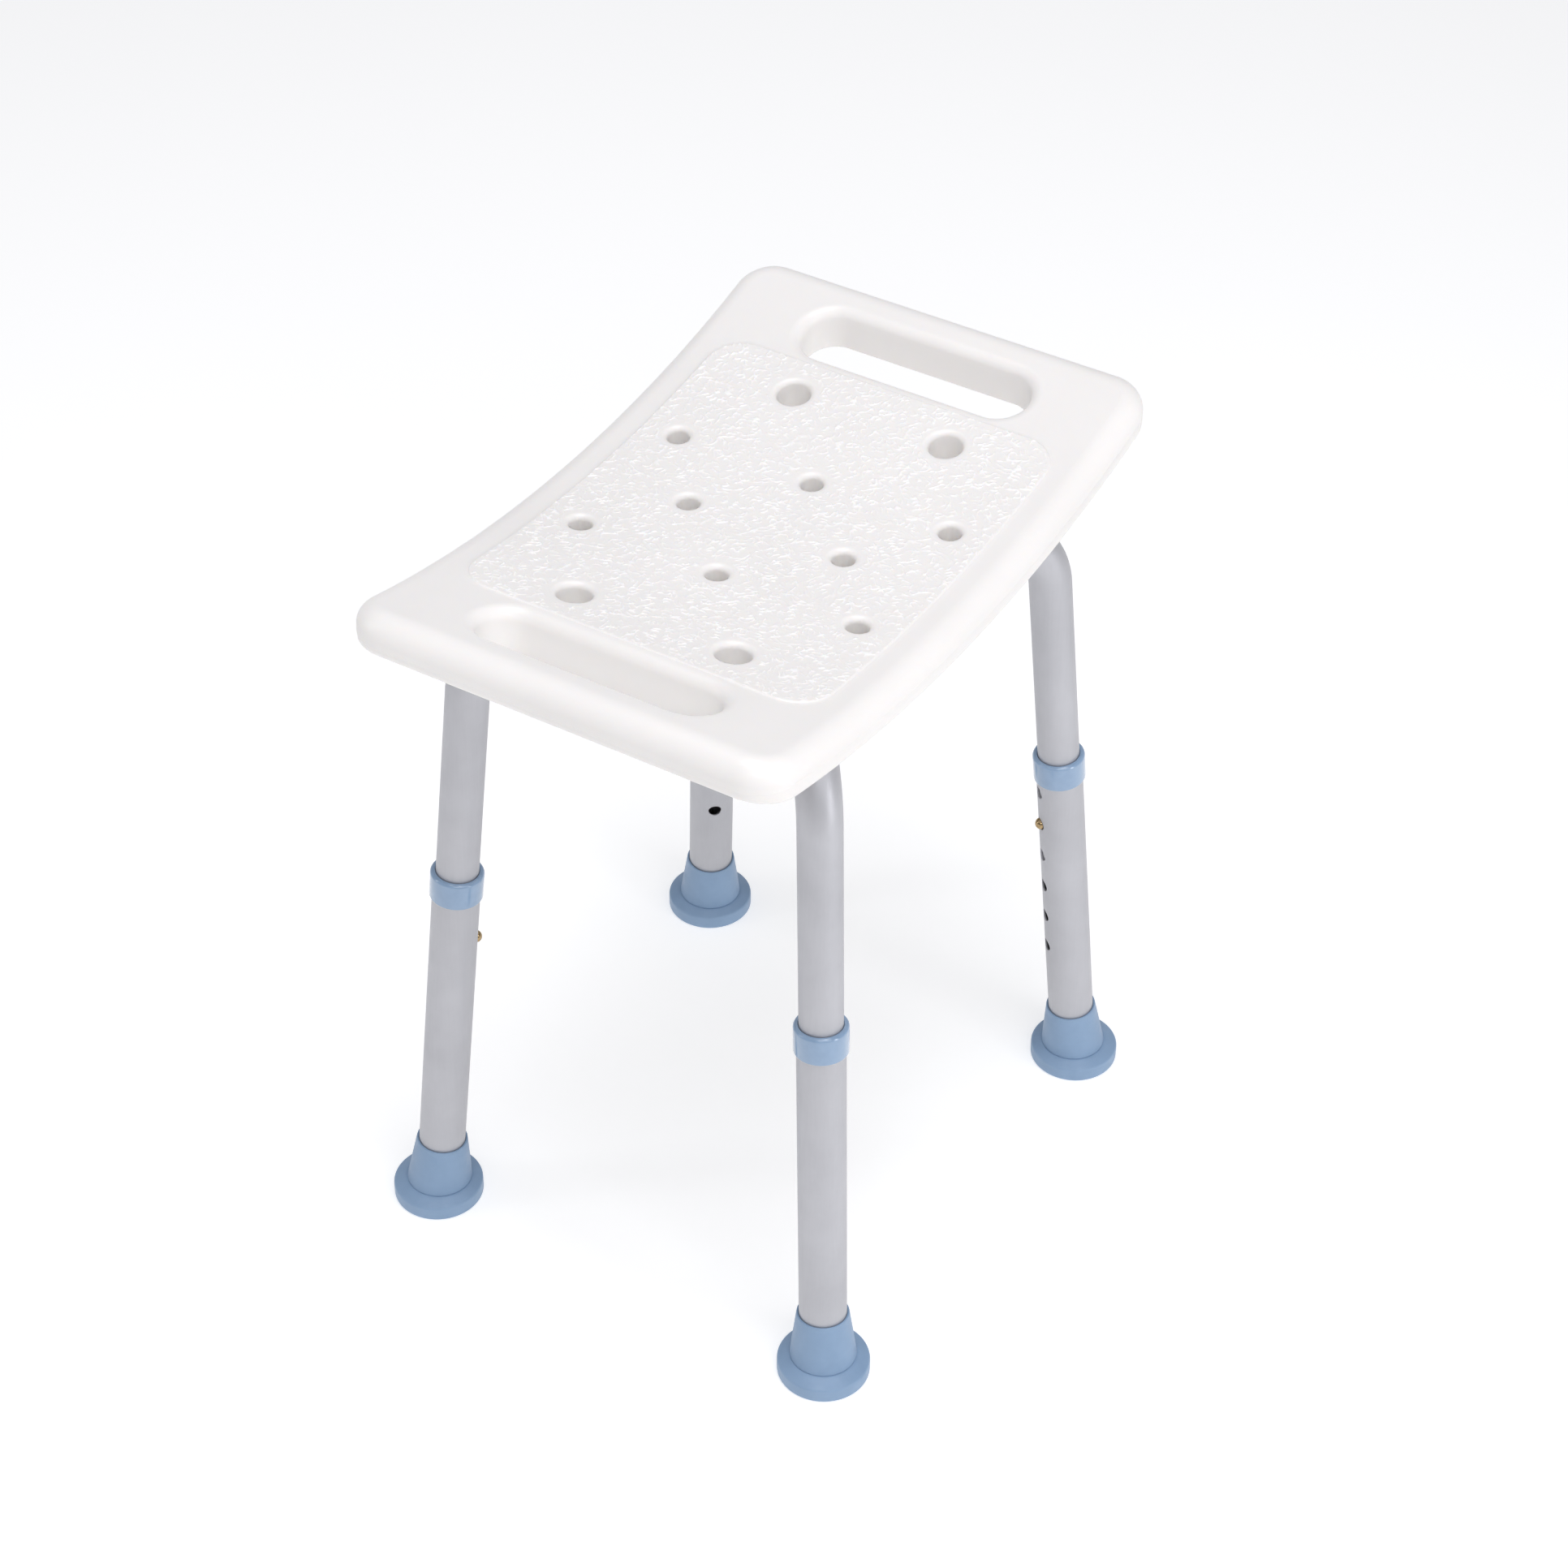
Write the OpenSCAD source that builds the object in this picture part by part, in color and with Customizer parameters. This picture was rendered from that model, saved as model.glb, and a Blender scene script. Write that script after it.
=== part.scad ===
// Shower stool: a dished, hollow plastic seat on four splayed telescopic legs.
// +X runs along the seat's long axis, -Y is the front, +Z is up, the floor is z = 0.
// Units are millimetres.

/* [Seat] */
// Length of the seat along X
seat_length = 420; // [405:1:450]
// Depth of the seat along Y
seat_depth = 268; // [258:1:290]
// Height of the top face at the middle of the seat, with the legs at their shown setting
seat_height = 455; // [452:0.5:458]
// Thickness of the moulding
seat_thickness = 25; // [24:0.5:30]
// Radius of the dish along the length
dish_radius = 745; // [700:5:1000]
// Wall of the blow moulding
seat_wall = 3; // [2.5:0.1:4]
// Corner radius in plan
seat_corner = 24; // [20:1:30]
// Radius of the rolled top edge
top_roll = 12; // [8:0.5:13]
// Radius of the lower edge
bottom_roll = 6; // [4:0.5:7]

/* [Anti-slip panel] */
// Length of the raised textured panel
panel_length = 276; // [240:1:280]
// Depth of the raised textured panel
panel_depth = 223; // [200:1:226]
// Height of the panel above the seat
panel_rise = 0.7; // [0.3:0.1:1.2]
// Corner radius of the panel
panel_corner = 22; // [10:1:30]

/* [Openings in the seat] */
// Diameter of the large drain holes
large_hole = 19.4; // [15:0.2:22]
// Diameter of the small drain holes
small_hole = 12.8; // [9:0.2:15]
// Spacing grid of the drain holes
hole_grid = 50; // [48:0.5:52]
// Half distance between the large holes along X
large_hole_x = 113; // [108:0.5:116]
// Half distance between the outer holes of a row of three
row_hole_y = 88.5; // [84:0.5:92]
// Soft rim of the drain holes
hole_rim = 3.5; // [1:0.5:4]
// Middle of each hand slot from the middle of the seat
slot_x = 165.5; // [163:0.5:168]
// Width of each hand slot
slot_width = 36; // [30:1:38]
// Length of each hand slot
slot_length = 147; // [120:1:150]
// Soft rim of the hand slots
slot_rim = 8; // [4:0.5:9]
// How far the lip under the seat deepens the inboard wall of a hand slot
lip_drop = 8; // [6:0.5:12]
// Wall of that lip
lip_wall = 3.4; // [3:0.1:5]

/* [Legs] */
// Distance between the feet along X
foot_span_x = 312.4; // [306:0.2:320]
// Distance between the feet along Y
foot_span_y = 275.4; // [270:0.2:282]
// Lean of each leg from upright, outwards to the floor
splay = 5.52; // [5:0.02:6]
// Outer diameter of the upper tube
upper_od = 25; // [24.6:0.1:25]
// Wall of the upper tube
upper_wall = 1.5; // [1.2:0.1:2]
// Outer diameter of the lower tube
lower_od = 28; // [28:0.1:29]
// Wall of the lower tube
lower_wall = 1.2; // [1:0.1:1.2]
// Centre-line radius of the bend under the seat
bend_radius = 52; // [51:0.5:53]
// Height of the arms' centre line above the floor
arm_height = 430.2; // [429:0.2:431]
// Distance of the arms' inner ends from the middle
arm_inner = 24; // [22:1:28]

/* [Height setting] */
// Distance between the height holes
hole_pitch = 25.4; // [25:0.1:25.8]
// Number of height holes
hole_count = 6; // [5:1:6]
// Lowest height hole, measured along the leg from the floor
first_hole = 101; // [98:1:104]
// Hole that the button is in, counted from the lowest as 0
button_hole = 4; // [4:1:4]
// Diameter of the height holes
height_hole = 8.2; // [8:0.1:8.8]
// Diameter of the snap button
button_d = 7.2; // [6.8:0.1:7.4]
// How far the button stands out of the lower tube
button_proud = 3; // [2:0.1:3.2]

/* [Collars and feet] */
// Outer diameter of the collar
collar_od = 31.4; // [31:0.2:34]
// Lower end of the collar, along the leg from the floor
collar_low = 237.4; // [236:0.2:240]
// Upper end of the collar, along the leg from the floor
collar_top = 255.2; // [254:0.2:258]
// Diameter of the foot's flange
foot_d = 54.6; // [52:0.2:58]
// Thickness of the foot's flange
flange_t = 8.4; // [7.6:0.2:9]
// Upper end of the foot's socket, along the leg from the floor
socket_top = 44; // [42:1:50]
// Diameter of the socket at its mouth
socket_d = 30.8; // [30.4:0.2:32]
// Diameter of the socket at its root
socket_root_d = 40.8; // [38:0.2:42]

/* [Fasteners] */
// Diameter of the frame screws
screw_d = 5.9; // [5.6:0.1:5.9]
// Distances of the screws from the middle, along each arm
screw_r_inner = 50; // [46:1:60]
// Distance of the outer screw from the middle
screw_r_outer = 105; // [90:1:108]

/* [Hidden] */
$fn = 72;
eps = 0.01;
LEGS = ["front_left", "front_right", "rear_left", "rear_right"];

// Colours
white_plastic = [0.94, 0.93, 0.92];
aluminium = [0.78, 0.79, 0.81];
blue_plastic = [0.62, 0.74, 0.88];
blue_rubber = [0.56, 0.67, 0.80];
brass = [0.80, 0.70, 0.50];
steel = [0.62, 0.63, 0.65];
grey_plastic = [0.35, 0.36, 0.38];

// Legs: the plane of each leg passes through the middle of the seat
leg_turn = atan2(foot_span_y, foot_span_x);
leg_angles = [-leg_turn, 180 + leg_turn, leg_turn, 180 - leg_turn];
foot_r = sqrt(pow(foot_span_x / 2, 2) + pow(foot_span_y / 2, 2));
// Arm height H, foot distance F and lean s fix where the bend starts along the leg
bend_start = (arm_height - bend_radius * (1 - sin(splay))) / cos(splay);
bend_turn = 90 - splay;
bend_r = foot_r - bend_start * sin(splay);
bend_centre_r = bend_r - bend_radius * cos(splay);
button_s = first_hole + button_hole * hole_pitch;
upper_end = button_s - 36;
lower_end = flange_t + 2.6;
washer_t = 2;
lower_id = lower_od - 2 * lower_wall;
upper_id = upper_od - 2 * upper_wall;

// Seat
arc_z = seat_height + dish_radius;
channel_r = upper_od / 2 + 0.4;
channel_end = bend_centre_r + 30;

// ---------------------------------------------------------------- places

// Z along a leg from the floor up, X away from the middle of the seat
module on_leg(turn) {
    rotate([0, 0, turn]) translate([foot_r, 0, 0]) rotate([0, -splay, 0]) children();
}

// Z up, X along an arm away from the middle of the seat
module on_arm(turn) {
    rotate([0, 0, turn]) translate([0, 0, arm_height]) children();
}

// Square on the dish at x, with the face at z = 0
module on_dish(x) {
    translate([0, 0, arc_z]) rotate([0, -asin(x / dish_radius), 0])
        translate([0, 0, -dish_radius]) children();
}

function dish_z(x, r) = arc_z - sqrt(r * r - x * x);

// A cylinder from x = a to x = b along X
module bar(a, b, d) {
    translate([a, 0, 0]) rotate([0, 90, 0]) cylinder(d = d, h = b - a);
}

// ---------------------------------------------------------------- seat

// Cross-section of the moulding, radius from the dish centre by depth
module section(g) {
    near = dish_radius + g;
    far = dish_radius + seat_thickness - g;
    half = seat_depth / 2 - g;
    rt = top_roll - g;
    rb = bottom_roll - g;
    translate([near + rt, -half]) square([far - near - rt - rb, 2 * half]);
    translate([near, -half + rt]) square([rt + eps, 2 * (half - rt)]);
    translate([far - rb - eps, -half + rb]) square([rb + eps, 2 * (half - rb)]);
    for (s = [-1, 1]) {
        translate([near + rt, s * (half - rt)]) circle(r = rt);
        translate([far - rb, s * (half - rb)]) circle(r = rb);
    }
}

// Side view of the moulding, with its rounded ends
module profile(g) {
    near = dish_radius + g;
    far = dish_radius + seat_thickness - g;
    half = seat_length / 2 - g;
    rt = top_roll - g;
    rb = bottom_roll - g;
    zt = dish_z(half - rt, near + rt);
    zb = dish_z(half - rb, far - rb);
    xt = (half - rt) * near / (near + rt);
    xb = (half - rb) * far / (far - rb);
    intersection() {
        difference() {
            translate([0, arc_z]) circle(r = far, $fn = 360);
            translate([0, arc_z]) circle(r = near, $fn = 360);
        }
        translate([-xt, 0]) square([2 * xt, arc_z]);
    }
    for (s = [-1, 1]) {
        translate([s * (half - rt), zt]) circle(r = rt);
        translate([s * (half - rb), zb]) circle(r = rb);
        polygon([
            [s * (xt - 1), dish_z(xt - 1, far)], [s * xb, dish_z(xb, far)], [s * (half - rb), zb],
            [s * half, zb], [s * half, zt], [s * (half - rt), zt], [s * xt, dish_z(xt, near)],
            [s * (xt - 1), dish_z(xt - 1, near)]
        ]);
    }
}

module corner_cutter(g) {
    r = seat_corner - g;
    x = seat_length / 2 - g - r;
    y = seat_depth / 2 - g - r;
    for (i = [-1, 1], j = [-1, 1]) {
        low_x = i > 0 ? 0 : -(r + 8);
        low_y = j > 0 ? 0 : -(r + 8);
        translate([i * x, j * y, seat_height - 60]) difference() {
            translate([low_x, low_y, 0]) cube([r + 8, r + 8, 140]);
            translate([0, 0, -1]) cylinder(r = r, h = 142);
        }
    }
}

// The moulding's outside at g = 0, its inside at g = seat_wall
module moulding(g) {
    difference() {
        intersection() {
            translate([0, 0, arc_z]) rotate([-90, 0, 0]) rotate([0, 0, 90 - 24])
                rotate_extrude(angle = 48, $fn = 360) section(g);
            translate([0, 200, 0]) rotate([90, 0, 0]) linear_extrude(height = 400) profile(g);
        }
        corner_cutter(g);
    }
}

module rounded_plan(l, d, r, h) {
    translate([-l / 2 + r, -d / 2, 0]) cube([l - 2 * r, d, h]);
    translate([-l / 2, -d / 2 + r, 0]) cube([l, d - 2 * r, h]);
    for (i = [-1, 1], j = [-1, 1]) {
        translate([i * (l / 2 - r), j * (d / 2 - r), 0]) cylinder(r = r, h = h);
    }
}

module panel() {
    intersection() {
        translate([0, 0, arc_z]) rotate([90, 0, 0]) difference() {
            cylinder(r = dish_radius + 1, h = panel_depth + 20, center = true, $fn = 360);
            cylinder(r = dish_radius - panel_rise, h = panel_depth + 30, center = true, $fn = 360);
        }
        translate([0, 0, seat_height - 20])
            rounded_plan(panel_length, panel_depth, panel_corner, 60);
    }
}

// Removes the material above a rolled rim of radius r round a hole of radius h
module round_rim(h, r, lap) {
    rotate_extrude() difference() {
        translate([h - lap, -r]) square([r + lap, r + 3]);
        translate([h + r, -r]) circle(r = r);
    }
}

module drain_cut(x, y, d) {
    translate([x, y, seat_height - 40]) cylinder(d = d, h = 90);
    on_dish(x) translate([0, y, panel_rise]) round_rim(d / 2, hole_rim, 1);
}

module stadium(l, w, h) {
    translate([-w / 2, -(l - w) / 2, 0]) cube([w, l - w, h]);
    for (s = [-1, 1]) translate([0, s * (l - w) / 2, 0]) cylinder(d = w, h = h);
}

// The slot's walls are upright, so its rim is moved and widened to meet them on the tilted face
module slot_cut(x) {
    straight = slot_length - slot_width;
    tilt = asin(x / dish_radius);
    half = slot_width / 2 / cos(tilt) + 0.2;
    lap = 6;
    translate([x, 0, seat_height - 40]) stadium(slot_length, slot_width, 110);
    on_dish(x) translate([-slot_rim * tan(tilt), 0, 0]) {
        for (s = [-1, 1]) {
            translate([0, s * straight / 2, 0]) round_rim(half, slot_rim, lap);
            translate([0, straight / 2, 0]) rotate([90, 0, 0])
                linear_extrude(height = straight) difference() {
                    translate([s > 0 ? half - lap : -half - slot_rim, -slot_rim])
                        square([slot_rim + lap, slot_rim + 3]);
                    translate([s * (half + slot_rim), -slot_rim]) circle(r = slot_rim);
                }
        }
    }
}

// The lip under the seat that makes the inboard wall of a hand slot deeper
module slot_lip(s) {
    intersection() {
        translate([s * slot_x, 0, seat_height - 35])
            stadium(slot_length + 2 * lip_wall, slot_width + 2 * lip_wall, 60);
        translate([s > 0 ? 0 : -slot_x, -seat_depth / 2, seat_height - 40]) cube([slot_x, seat_depth, 80]);
        translate([0, 0, arc_z]) rotate([90, 0, 0]) difference() {
            cylinder(r = dish_radius + seat_thickness + lip_drop, h = seat_depth, center = true);
            cylinder(r = dish_radius + seat_thickness - 1.5, h = seat_depth + 2, center = true);
        }
    }
}

// The places of the drain holes: x, y and diameter
DRAINS = concat(
    [for (i = [-1, 1], j = [-1, 1]) [i * large_hole_x, j * hole_grid, large_hole]],
    [for (i = [-1, 1], j = [-1, 0, 1]) [i * hole_grid, j * row_hole_y, small_hole]],
    [for (j = [-1, 1]) [0, j * hole_grid, small_hole]]
);

module channel(c) {
    r = channel_r + c;
    start = arm_inner - 6 - c;
    bar(start, channel_end + c, 2 * r);
    translate([start, -r, -30]) cube([channel_end + c - start, 2 * r, 30]);
}

// What the hollow leaves standing: walls of the holes, slots and channels, and screw bosses
module inner_walls() {
    for (d = DRAINS) {
        translate([d[0], d[1], seat_height - 40]) cylinder(d = d[2] + 2 * seat_wall, h = 90);
        on_dish(d[0]) translate([0, d[1], -hole_rim - seat_wall])
            cylinder(d = d[2] + 2 * (hole_rim + seat_wall), h = 20);
    }
    for (s = [-1, 1]) {
        translate([s * slot_x, 0, seat_height - 40])
            stadium(slot_length + 2 * seat_wall, slot_width + 2 * seat_wall, 110);
        on_dish(s * slot_x) translate([0, 0, -slot_rim - seat_wall])
            stadium(slot_length + 2 * (slot_rim + seat_wall), slot_width + 2 * (slot_rim + seat_wall), 30);
    }
    for (turn = leg_angles) {
        on_arm(turn) channel(seat_wall);
        on_arm(turn) for (r = [screw_r_inner, screw_r_outer]) translate([r, 0, 0]) cylinder(d = 17, h = 60);
    }
}

module seat_shell() {
    color(white_plastic) difference() {
        union() {
            moulding(0);
            panel();
            for (s = [-1, 1]) slot_lip(s);
        }
        difference() {
            moulding(seat_wall);
            inner_walls();
        }
        for (d = DRAINS) drain_cut(d[0], d[1], d[2]);
        for (s = [-1, 1]) slot_cut(s * slot_x);
        for (turn = leg_angles) {
            on_arm(turn) channel(0);
            on_arm(turn) for (r = [screw_r_inner, screw_r_outer])
                translate([r, 0, channel_r - 3]) cylinder(d = insert_d, h = insert_h + 3);
        }
    }
}

// ---------------------------------------------------------------- fasteners
insert_d = 9;
insert_h = 8.4;
saddle_t = 4;
head_h = 3.4;

module seat_inserts() {
    color(brass) for (turn = leg_angles) {
        on_arm(turn) for (r = [screw_r_inner, screw_r_outer]) translate([r, 0, channel_r - 0.2])
            difference() {
                cylinder(d = insert_d, h = insert_h);
                translate([0, 0, -1]) cylinder(d = screw_d + 0.1, h = insert_h - 0.4);
            }
    }
}

module frame_screws() {
    low = -upper_od / 2 - saddle_t;
    color(steel) for (turn = leg_angles) {
        on_arm(turn) for (r = [screw_r_inner, screw_r_outer]) translate([r, 0, low])
            difference() {
                union() {
                    cylinder(d = screw_d, h = channel_r - low + insert_h - 2.4);
                    translate([0, 0, -head_h]) cylinder(d = 12, h = head_h);
                }
                for (a = [0, 90]) rotate([0, 0, a])
                    translate([-3, -0.6, -head_h - 1]) cube([6, 1.2, 3]);
            }
    }
}

module saddle_washers() {
    color(grey_plastic) for (turn = leg_angles) {
        on_arm(turn) for (r = [screw_r_inner, screw_r_outer]) difference() {
            translate([r, 0, -upper_od / 2 - saddle_t]) cylinder(d = 15, h = saddle_t + 3);
            bar(r - 10, r + 10, upper_od);
            translate([r, 0, -upper_od]) cylinder(d = screw_d + 0.4, h = upper_od);
        }
    }
}

// ---------------------------------------------------------------- upper tube

module upper_run(d, cut) {
    translate([foot_r, 0, 0]) rotate([0, -splay, 0]) translate([0, 0, upper_end - cut])
        cylinder(d = d, h = bend_start - upper_end + cut);
    translate([bend_centre_r, 0, arm_height - bend_radius]) rotate([90, 0, 0])
        rotate([0, 0, splay]) rotate_extrude(angle = bend_turn) translate([bend_radius, 0]) circle(d = d);
    translate([0, 0, arm_height]) bar(arm_inner - cut, bend_centre_r, d);
}

// A ring inside the tube's wall that runs across the joint between two runs
module joint_ring() {
    rotate_extrude() translate([upper_id / 2 + 0.02, -0.5]) square([upper_wall - 0.04, 1]);
}

module upper_tube(turn) {
    color(aluminium) rotate([0, 0, turn]) difference() {
        union() {
            difference() {
                upper_run(upper_od, 0);
                upper_run(upper_id, 1);
            }
            translate([foot_r, 0, 0]) rotate([0, -splay, 0]) translate([0, 0, bend_start]) joint_ring();
            translate([bend_centre_r, 0, arm_height]) rotate([0, 90, 0]) joint_ring();
        }
        translate([foot_r, 0, 0]) rotate([0, -splay, 0]) translate([0, 0, button_s])
            bar(-upper_od, 0, button_d + 0.16);
        for (r = [screw_r_inner, screw_r_outer])
            translate([r, 0, arm_height - upper_od]) cylinder(d = screw_d + 0.6, h = 2 * upper_od);
    }
}

module arm_plug(turn) {
    wall = 1.6;
    color(grey_plastic) on_arm(turn) difference() {
        union() {
            bar(arm_inner - 2, arm_inner, upper_od);
            bar(arm_inner - eps, arm_inner + 13, upper_id - 0.1);
        }
        bar(arm_inner + 1, arm_inner + 14, upper_id - 2 * wall);
    }
}

// ---------------------------------------------------------------- snap clip
leaf_w = 8;
leaf_t = 0.8;
leaf_x = 10;
leaf_low = -13;
leaf_knee = 8;
leaf_high = 30;
clip_bend = 5;
rivet_d = 3;

// Side view of one leaf, whose tip runs into the bend at the top of the clip
module leaf_profile() {
    inner = leaf_x - leaf_t;
    tip = clip_bend - 0.23;
    polygon([
        [inner, leaf_low], [leaf_x, leaf_low], [leaf_x, leaf_knee],
        [tip + 0.25, leaf_high + 1], [tip - 0.25, leaf_high + 1], [inner, leaf_knee]
    ]);
}

module bend_profile() {
    half = leaf_t / 2;
    translate([0, leaf_high]) difference() {
        circle(r = clip_bend + half);
        circle(r = clip_bend - half);
        translate([-20, -40.4]) square([40, 40]);
    }
}

module strip() {
    translate([0, leaf_w / 2, 0]) rotate([90, 0, 0]) linear_extrude(height = leaf_w) children();
}

module snap_spring(turn) {
    color(steel) on_leg(turn) translate([0, 0, button_s]) difference() {
        union() {
            for (a = [0, 180]) rotate([0, 0, a]) strip() leaf_profile();
            strip() bend_profile();
        }
        bar(-leaf_x - 2, -4, rivet_d + 0.1);
    }
}

module snap_button(turn) {
    tip = lower_od / 2 + button_proud;
    dome_h = button_proud - 0.4;
    dome_r = (pow(button_d / 2, 2) + dome_h * dome_h) / (2 * dome_h);
    color(brass) on_leg(turn) translate([0, 0, button_s]) rotate([0, -90, 0]) {
        translate([0, 0, leaf_x]) cylinder(d = button_d, h = tip - dome_h - leaf_x);
        intersection() {
            translate([0, 0, tip - dome_r]) sphere(r = dome_r);
            translate([0, 0, tip - dome_h - eps]) cylinder(d = button_d, h = dome_h + 1);
        }
        translate([0, 0, leaf_x - leaf_t - 0.1]) cylinder(d = rivet_d, h = leaf_t + 0.2);
        translate([0, 0, leaf_x - leaf_t - 0.7]) cylinder(d = 4.6, h = 0.65);
    }
}

// ---------------------------------------------------------------- lower leg

module lower_tube(turn) {
    color(aluminium) on_leg(turn) difference() {
        translate([0, 0, lower_end]) cylinder(d = lower_od, h = collar_top - 2 - lower_end);
        translate([0, 0, lower_end - 1]) cylinder(d = lower_id, h = collar_top);
        for (k = [0 : hole_count - 1]) translate([0, 0, first_hole + k * hole_pitch])
            bar(-lower_od, 0, height_hole);
    }
}

// Outline of a turned ring: rounded top edge r, small lower edge
module ring_outline(r_out, low, high, r_top, r_low) {
    translate([0, low + r_low]) square([r_out, high - low - r_top - r_low]);
    translate([0, high - r_top - eps]) square([r_out - r_top, r_top + eps]);
    translate([0, low]) square([r_out - r_low, r_low + eps]);
    translate([r_out - r_top, high - r_top]) intersection() {
        circle(r = r_top);
        square(r_top);
    }
    translate([r_out - r_low, low + r_low]) intersection() {
        circle(r = r_low);
        translate([0, -r_low]) square(r_low);
    }
}

module height_collar(turn) {
    color(blue_plastic) on_leg(turn) difference() {
        rotate_extrude() ring_outline(collar_od / 2, collar_low, collar_top, 2.4, 0.8);
        translate([0, 0, collar_low - 1]) cylinder(d = lower_od, h = collar_top - 2 - collar_low + 1);
        translate([0, 0, collar_low]) cylinder(d = upper_od + 0.6, h = collar_top);
    }
}

module foot_washer(turn) {
    color(steel) on_leg(turn) difference() {
        translate([0, 0, lower_end - washer_t]) cylinder(d = lower_od - 0.4, h = washer_t);
        translate([0, 0, lower_end - washer_t - 1]) cylinder(d = 8, h = washer_t + 2);
    }
}

// Half section of the flange: upright side, rounded edge, and a slope up to the socket
module flange_outline() {
    r = foot_d / 2;
    edge = [r - 3 + 2.9 * cos(50), flange_t - 3 + 2.9 * sin(50)];
    rise = (edge[0] - 18.5) * tan(40);
    ring_outline(r, 0, flange_t, 3, 1.5);
    polygon([[0, 2], [r - 4, 2], edge, [18.5, edge[1] + rise], [0, edge[1] + rise]]);
}

module rubber_foot(turn) {
    root = flange_t - 0.4;
    color(blue_rubber) difference() {
        union() {
            rotate([0, 0, turn]) translate([foot_r, 0, 0]) rotate_extrude() flange_outline();
            on_leg(turn) translate([0, 0, root])
                cylinder(d1 = socket_root_d, d2 = socket_d, h = socket_top - root);
        }
        on_leg(turn) translate([0, 0, lower_end - washer_t]) cylinder(d = lower_od, h = socket_top);
        rotate([0, 0, turn]) translate([foot_r, 0, -1]) {
            for (r = [9, 16, 23]) difference() {
                cylinder(r = r + 1.5, h = 2.2);
                translate([0, 0, -1]) cylinder(r = r, h = 5);
            }
        }
    }
}

seat_shell();
seat_inserts();
frame_screws();
saddle_washers();
for (k = [0 : 3]) {
    leg = LEGS[k];
    turn = leg_angles[k];
    upper_tube(turn);
    arm_plug(turn);
    snap_spring(turn);
    snap_button(turn);
    lower_tube(turn);
    height_collar(turn);
    foot_washer(turn);
    rubber_foot(turn);
}
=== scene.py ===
"""Shower stool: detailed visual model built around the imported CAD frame, in metres, +Z up."""
import math

import bpy
import numpy as np
from mathutils import Matrix, Vector
from mathutils.geometry import delaunay_2d_cdt


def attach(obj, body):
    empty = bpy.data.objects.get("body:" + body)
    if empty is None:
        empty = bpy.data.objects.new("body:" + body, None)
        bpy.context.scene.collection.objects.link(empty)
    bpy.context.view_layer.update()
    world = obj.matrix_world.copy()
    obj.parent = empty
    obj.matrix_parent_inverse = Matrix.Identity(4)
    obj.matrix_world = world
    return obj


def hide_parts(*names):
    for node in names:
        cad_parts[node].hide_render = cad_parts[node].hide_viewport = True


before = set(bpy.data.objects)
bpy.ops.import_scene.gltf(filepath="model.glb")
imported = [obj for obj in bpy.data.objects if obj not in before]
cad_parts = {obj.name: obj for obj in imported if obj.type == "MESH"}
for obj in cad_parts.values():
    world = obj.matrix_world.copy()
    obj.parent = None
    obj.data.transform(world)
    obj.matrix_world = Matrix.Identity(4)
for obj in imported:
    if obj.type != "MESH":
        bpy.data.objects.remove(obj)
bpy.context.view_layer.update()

MM = 0.001
LEGS = ("front_left", "front_right", "rear_left", "rear_right")

# ------------------------------------------------------------------ object sizes, in mm
# Seat. Its top and underside are parts of cylinders about one line above it, at DISH_Z.
SEAT_LENGTH, SEAT_DEPTH, SEAT_TOP, SEAT_THICK = 420.0, 268.0, 455.0, 25.0
DISH_R, CORNER_R, TOP_ROLL, BOTTOM_ROLL = 745.0, 24.0, 12.0, 6.0
DISH_Z = SEAT_TOP + DISH_R
BOTTOM_R = DISH_R + SEAT_THICK
PARTING_DEPTH, PARTING_PROUD = 13.1, 0.15
PARTING_RIDGE = ((0.45, 0.0), (0.2, 0.11), (0.0, PARTING_PROUD), (-0.2, 0.11), (-0.45, 0.0))
PANEL_LENGTH, PANEL_DEPTH, PANEL_RISE, PANEL_CORNER = 276.0, 223.0, 0.7, 22.0
SLOT_X, SLOT_HALF_WIDTH, SLOT_STRAIGHT, SLOT_RIM = 165.5, 18.0, 55.5, 7.0
LIP_DROP, LIP_WALL, LIP_ROUND = 8.0, 3.4, 1.3
HOLE_RIM, HOLE_LOW_RIM = 3.5, 1.2
LARGE_HOLE_R, SMALL_HOLE_R = 9.7, 6.4
DRAINS = [(i * 113.0, j * 50.0, LARGE_HOLE_R) for i in (-1, 1) for j in (-1, 1)]
DRAINS += [(i * 50.0, j * 88.5, SMALL_HOLE_R) for i in (-1, 1) for j in (-1, 0, 1)]
DRAINS += [(0.0, j * 50.0, SMALL_HOLE_R) for j in (-1, 1)]
MARK_X, MARK_Y, MARK_R, MARK_DEPTH = -181.0, 102.0, 3.4, 0.10

# Wrinkled anti-slip relief of the panel.
RELIEF_STEP, RELIEF_LENGTH, RELIEF_DEPTH = 0.25, 300, 240
RIDGE_HEIGHT, RIDGE_WIDTH, RIDGE_WAVELENGTH = 0.5, 0.38, 5.8

# Spacing of the seat's mesh points.
EDGE_STEP, FINE_STEP, TOP_STEP, BOTTOM_STEP = 0.5, 0.5, 2.4, 4.0

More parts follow.
